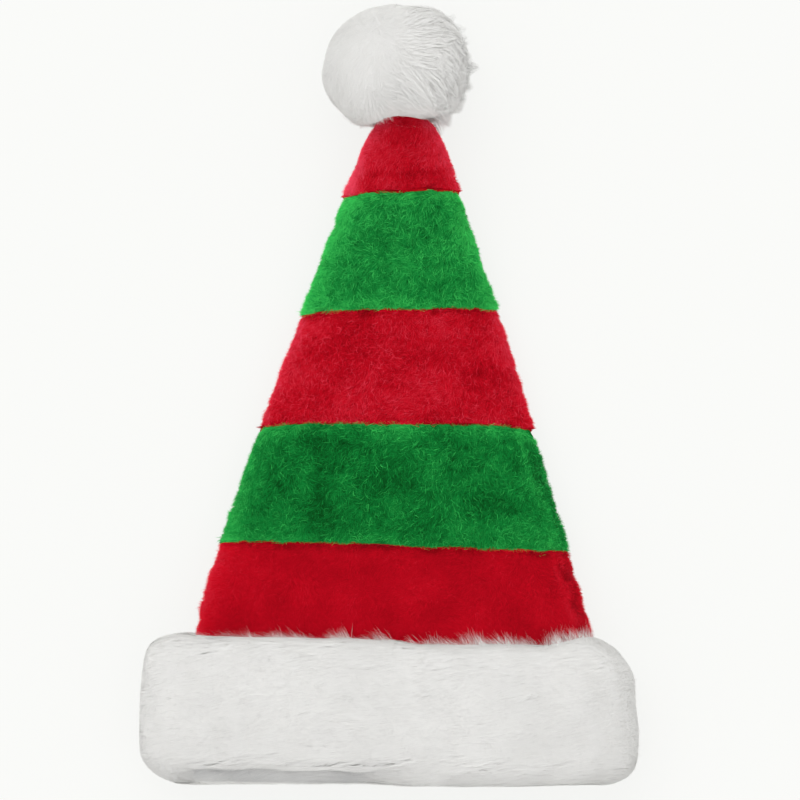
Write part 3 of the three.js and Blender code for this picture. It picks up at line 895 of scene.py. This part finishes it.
def pompom_fur(seed):
    """The fur of the pompom."""
    chance = np.random.default_rng(seed)
    batches = []
    for count, length, stand, width, steps, tufts, pull, rise, only_right in POMPOM_LAYERS:

        def share(places, normals):
            return np.where(only_right, tufted(places) * (1 - parted(places)), 1)

        roots, normals = plant(pompom, count, chance, share)
        right = tufted(roots)
        away = np.linalg.norm(roots - SWIRL, axis=1, keepdims=True)
        run = unit(roots - SWIRL) + 0.7 * clouds(roots, 17 * MM, 301) + 0.2 * clouds(roots, 7 * MM, 305)
        run += 1.5 * np.exp(-away / SWIRL_SIZE) * chance.normal(size=roots.shape)
        run = along_skin(run + 0.1 * chance.normal(size=roots.shape), normals)
        length = length * MM * (1 + 0.15 * cloud(roots, 9 * MM, 311) + 0.1 * chance.normal(size=count))
        stand = (stand + rise * right) * MM * (1 - 0.15 * chance.uniform(0, 1, count) * (1 + right))
        stand *= 1 - 0.6 * parted(roots)
        spines = laid(pompom_skin, roots, run, length, stand, steps)
        spines = gathered(spines, tufts, pull * right ** 2)
        tones = POMPOM_TONE + 0.12 * cloud(roots, 12 * MM, 321) + 0.04 * chance.normal(size=count)
        widths = width * MM * chance.uniform(0.7, 1.3, count)
        batches.append(blades(spines, normals, widths, tones, POMPOM_FACE))

    def at_right(places, normals):
        return ((normals[:, 0] > 0.4) & (normals[:, 2] > -0.4) & (normals[:, 1] < 0.7)).astype(float)

    roots, normals = plant(pompom, LOOSE_HAIRS, chance, at_right)
    run = normals + (0.5, -0.5, 0) + 0.4 * clouds(roots, 9 * MM, 341)
    run = unit(run + 0.12 * chance.normal(size=roots.shape))
    length = MM * chance.uniform(9, 15, LOOSE_HAIRS)
    spines = roots[:, None] + run[:, None] * (length[:, None, None] * np.linspace(0.3, 1, 3)[None, :, None])
    spines = gathered(spines, LOOSE_TUFTS, np.full(LOOSE_HAIRS, LOOSE_PULL))
    widths = 0.28 * MM * chance.uniform(0.6, 1.3, LOOSE_HAIRS)
    tones = np.full(LOOSE_HAIRS, LOOSE_TONE)
    batches.append(blades(spines, normals, widths, tones, POMPOM_FACE))
    return hair_piece("pompom_fur", batches)


hair["pompom"] = [pompom_fur(203)]

# %% [markdown]
# ## Finishes
#
# Plush is matt: it has no highlight of its own, only a bloom where the eye meets the hair end on, at the
# rims. So roughness is full, the specular level is close to none, and a tinted sheen gives the bloom. Light
# also shines through each thin hair, and a share of translucent light softens the shadows between them.
# A blade is darker at its root than at its tip, which is painted shade deep in the pile, and each hair has
# a tone: deep as in the painted shade of a seam, plain, or high as in the painted light at a rim that the
# light shines through.

# %% Materials
def node_of(tree, kind, **settings):
    """A new shader node with these settings."""
    made = tree.nodes.new(kind)
    for key, value in settings.items():
        setattr(made, key, value)
    return made


# The colour sockets of a Mix node, which has others of the same names for numbers and vectors.
COLOUR_A, COLOUR_B, MIXED_COLOUR = 6, 7, 2


def mixed(tree, share, dark, light):
    """A mix of two colours whose share comes from a socket."""
    mix = node_of(tree, "ShaderNodeMix", data_type="RGBA")
    tree.links.new(share, mix.inputs["Factor"])
    mix.inputs[COLOUR_A].default_value = (*dark, 1)
    mix.inputs[COLOUR_B].default_value = (*light, 1)
    return mix.outputs[MIXED_COLOUR]


MATT, NO_GLOSS, SHEEN_SPREAD = 0.95, 0.04, 0.5


def soft_shader(tree, colour, sheen, sheen_tint, through):
    """A matt, hairy surface: Principled for what it turns back, Translucent for what shines through."""
    skin = node_of(tree, "ShaderNodeBsdfPrincipled")
    tree.links.new(colour, skin.inputs["Base Color"])
    skin.inputs["Roughness"].default_value = MATT
    skin.inputs["Specular IOR Level"].default_value = NO_GLOSS
    skin.inputs["Sheen Weight"].default_value = sheen
    skin.inputs["Sheen Roughness"].default_value = SHEEN_SPREAD
    skin.inputs["Sheen Tint"].default_value = (*sheen_tint, 1)
    shine = node_of(tree, "ShaderNodeBsdfTranslucent")
    tree.links.new(colour, shine.inputs["Color"])
    blend = node_of(tree, "ShaderNodeMixShader")
    blend.inputs[0].default_value = through
    tree.links.new(skin.outputs[0], blend.inputs[1])
    tree.links.new(shine.outputs[0], blend.inputs[2])
    return blend.outputs[0]


PLAIN_TONE = 0.35  # where a dye's own colour lies between deep and high


def hair_material(name, root, deep, plain, high, sheen, sheen_tint, through):
    """Hair whose tone goes from deep through plain to high. root is the brightness at its root, painted
    shade.
    """
    material = bpy.data.materials.new(name)
    material.use_nodes = True
    tree = material.node_tree
    tree.nodes.clear()
    along = node_of(tree, "ShaderNodeAttribute", attribute_name="along")
    tone = node_of(tree, "ShaderNodeAttribute", attribute_name="tone")
    ramp = node_of(tree, "ShaderNodeValToRGB")
    stops = ramp.color_ramp.elements
    stops[0].color, stops[1].color = (*deep, 1), (*high, 1)
    stops.new(PLAIN_TONE).color = (*plain, 1)
    tree.links.new(tone.outputs["Fac"], ramp.inputs[0])
    rising = node_of(tree, "ShaderNodeMapRange")
    rising.inputs["To Min"].default_value = root
    tree.links.new(along.outputs["Fac"], rising.inputs["Value"])
    dimmed = node_of(tree, "ShaderNodeHueSaturation")
    tree.links.new(rising.outputs[0], dimmed.inputs["Value"])
    tree.links.new(ramp.outputs[0], dimmed.inputs["Color"])
    colour = dimmed.outputs[0]
    end = node_of(tree, "ShaderNodeOutputMaterial")
    tree.links.new(soft_shader(tree, colour, sheen, sheen_tint, through), end.inputs[0])
    return material


LOOPS_PER_METRE, PATCHES_PER_METRE = 900, 120
LOOP_BUMP, LOOP_DEPTH = 0.4, 0.3 * MM


def cloth_material(name, dark, light):
    """The knitted ground that the hair is planted in, with rows of small loops."""
    material = bpy.data.materials.new(name)
    material.use_nodes = True
    tree = material.node_tree
    tree.nodes.clear()
    place = node_of(tree, "ShaderNodeTexCoord")
    loops = node_of(tree, "ShaderNodeTexVoronoi")
    loops.inputs["Scale"].default_value = LOOPS_PER_METRE
    tree.links.new(place.outputs["Object"], loops.inputs["Vector"])
    patches = node_of(tree, "ShaderNodeTexNoise")
    patches.inputs["Scale"].default_value = PATCHES_PER_METRE
    tree.links.new(place.outputs["Object"], patches.inputs["Vector"])
    colour = mixed(tree, patches.outputs["Fac"], dark, light)
    bump = node_of(tree, "ShaderNodeBump")
    bump.inputs["Strength"].default_value = LOOP_BUMP
    bump.inputs["Distance"].default_value = LOOP_DEPTH
    tree.links.new(loops.outputs["Distance"], bump.inputs["Height"])
    skin = node_of(tree, "ShaderNodeBsdfPrincipled")
    tree.links.new(colour, skin.inputs["Base Color"])
    tree.links.new(bump.outputs[0], skin.inputs["Normal"])
    skin.inputs["Roughness"].default_value = MATT
    skin.inputs["Specular IOR Level"].default_value = NO_GLOSS
    end = node_of(tree, "ShaderNodeOutputMaterial")
    tree.links.new(skin.outputs[0], end.inputs[0])
    return material


# %% The colours
# root is painted shade: the brightness at a blade's root, where it is 1 at the tip.
RED = dict(root=0.82, deep=(0.26, 0.0004, 0.003), plain=(0.68, 0.003, 0.017), high=(0.97, 0.09, 0.16))
GREEN = dict(root=0.7, deep=(0.001, 0.07, 0.009), plain=(0.005, 0.29, 0.048), high=(0.07, 0.76, 0.15))
WHITE = dict(root=0.94, deep=(0.55, 0.555, 0.56), plain=(0.855, 0.852, 0.84), high=(0.965, 0.963, 0.95))
WHITE_GROUND = ((0.80, 0.795, 0.78), (0.86, 0.855, 0.84))
finishes = {
    "red_plush": (
        hair_material("red_pile", **RED, sheen=0.3, sheen_tint=(1, 0.2, 0.3), through=0.2),
        cloth_material("red_ground", (0.34, 0.001, 0.005), (0.44, 0.002, 0.008)),
    ),
    "green_plush": (
        hair_material("green_pile", **GREEN, sheen=0.3, sheen_tint=(0.4, 1, 0.4), through=0.2),
        cloth_material("green_ground", (0.001, 0.09, 0.012), (0.003, 0.14, 0.02)),
    ),
    "cuff_fur": (
        hair_material("cuff_hair", **WHITE, sheen=0.2, sheen_tint=(1, 1, 1), through=0.5),
        cloth_material("cuff_ground", *WHITE_GROUND),
    ),
    "pompom_fur": (
        hair_material("pompom_hair", **WHITE, sheen=0.2, sheen_tint=(1, 1, 1), through=0.5),
        cloth_material("pompom_ground", *WHITE_GROUND),
    ),
}

# %% [markdown]
# Every piece now gets the finish of its slot and the body that it rides on.

# %% Finish and ride
def slot_of(node):
    """The record's slot for a node."""
    if node.endswith("red"):
        return "red_plush"
    if node.endswith("green"):
        return "green_plush"
    return {"fur_cuff": "cuff_fur", "pompom": "pompom_fur"}[node]


for node, body in bodies.items():
    slot = slot_of(node)
    hair_finish, cloth_finish = finishes[slot]
    for piece, finish in [(body, cloth_finish)] + [(one, hair_finish) for one in hair[node]]:
        piece.data.materials.clear()
        piece.data.materials.append(finish)
        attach(piece, "root")

# Wide end, narrow end and length of each cut, in millimetres.
CUTS = {
    "tip_red": (68, 38, 52),
    "upper_green": (118, 70, 76),
    "middle_red": (163, 118, 76),
    "lower_green": (209, 164, 78),
    "base_red": (241, 209, 80),
}
for side, (stripe, (wide, narrow, length)) in itertools.product(SIDES, CUTS.items()):
    node = f"{side}_{stripe}"

# %% [markdown]
# ## Floor and light
#
# The photograph is a studio picture on white, lit softly from the upper left, with only a faint shadow at
# the right. One wide sun under an even white sky gives that light. The floor glows, because the paper in the
# photograph is almost pure white close to the fur too.

# %% Floor
FLOOR_SIZE = 12.0
FLOOR_COLOUR = (0.10, 0.101, 0.099, 1)
FLOOR_GLOW, GLOW_COLOUR = 0.815, (1, 1.005, 0.985, 1)

shape = bmesh.new()
bmesh.ops.create_grid(shape, x_segments=1, y_segments=1, size=FLOOR_SIZE / 2)
floor_mesh = bpy.data.meshes.new("floor")
shape.to_mesh(floor_mesh)
shape.free()
floor = add_object("floor", floor_mesh)
paper = bpy.data.materials.new("paper")
paper.use_nodes = True
sheet = paper.node_tree.nodes["Principled BSDF"]
sheet.inputs["Base Color"].default_value = FLOOR_COLOUR
sheet.inputs["Roughness"].default_value = 1
sheet.inputs["Specular IOR Level"].default_value = 0
sheet.inputs["Emission Color"].default_value = GLOW_COLOUR
sheet.inputs["Emission Strength"].default_value = FLOOR_GLOW
floor_mesh.materials.append(paper)

# %% Light
SKY = 1.2
SUN, SUN_WIDTH = 1.0, 0.9
SUN_TURN = (-38, -17, 0)

world = bpy.data.worlds.new("studio")
world.use_nodes = True
world.node_tree.nodes["Background"].inputs["Color"].default_value = (1, 1, 1, 1)
world.node_tree.nodes["Background"].inputs["Strength"].default_value = SKY
bpy.context.scene.world = world
lamp = bpy.data.lights.new("key", "SUN")
lamp.energy, lamp.angle = SUN, SUN_WIDTH
key = bpy.data.objects.new("key", lamp)
key.rotation_euler = np.radians(SUN_TURN)
bpy.context.scene.collection.objects.link(key)
bpy.context.scene.view_settings.view_transform = "Standard"
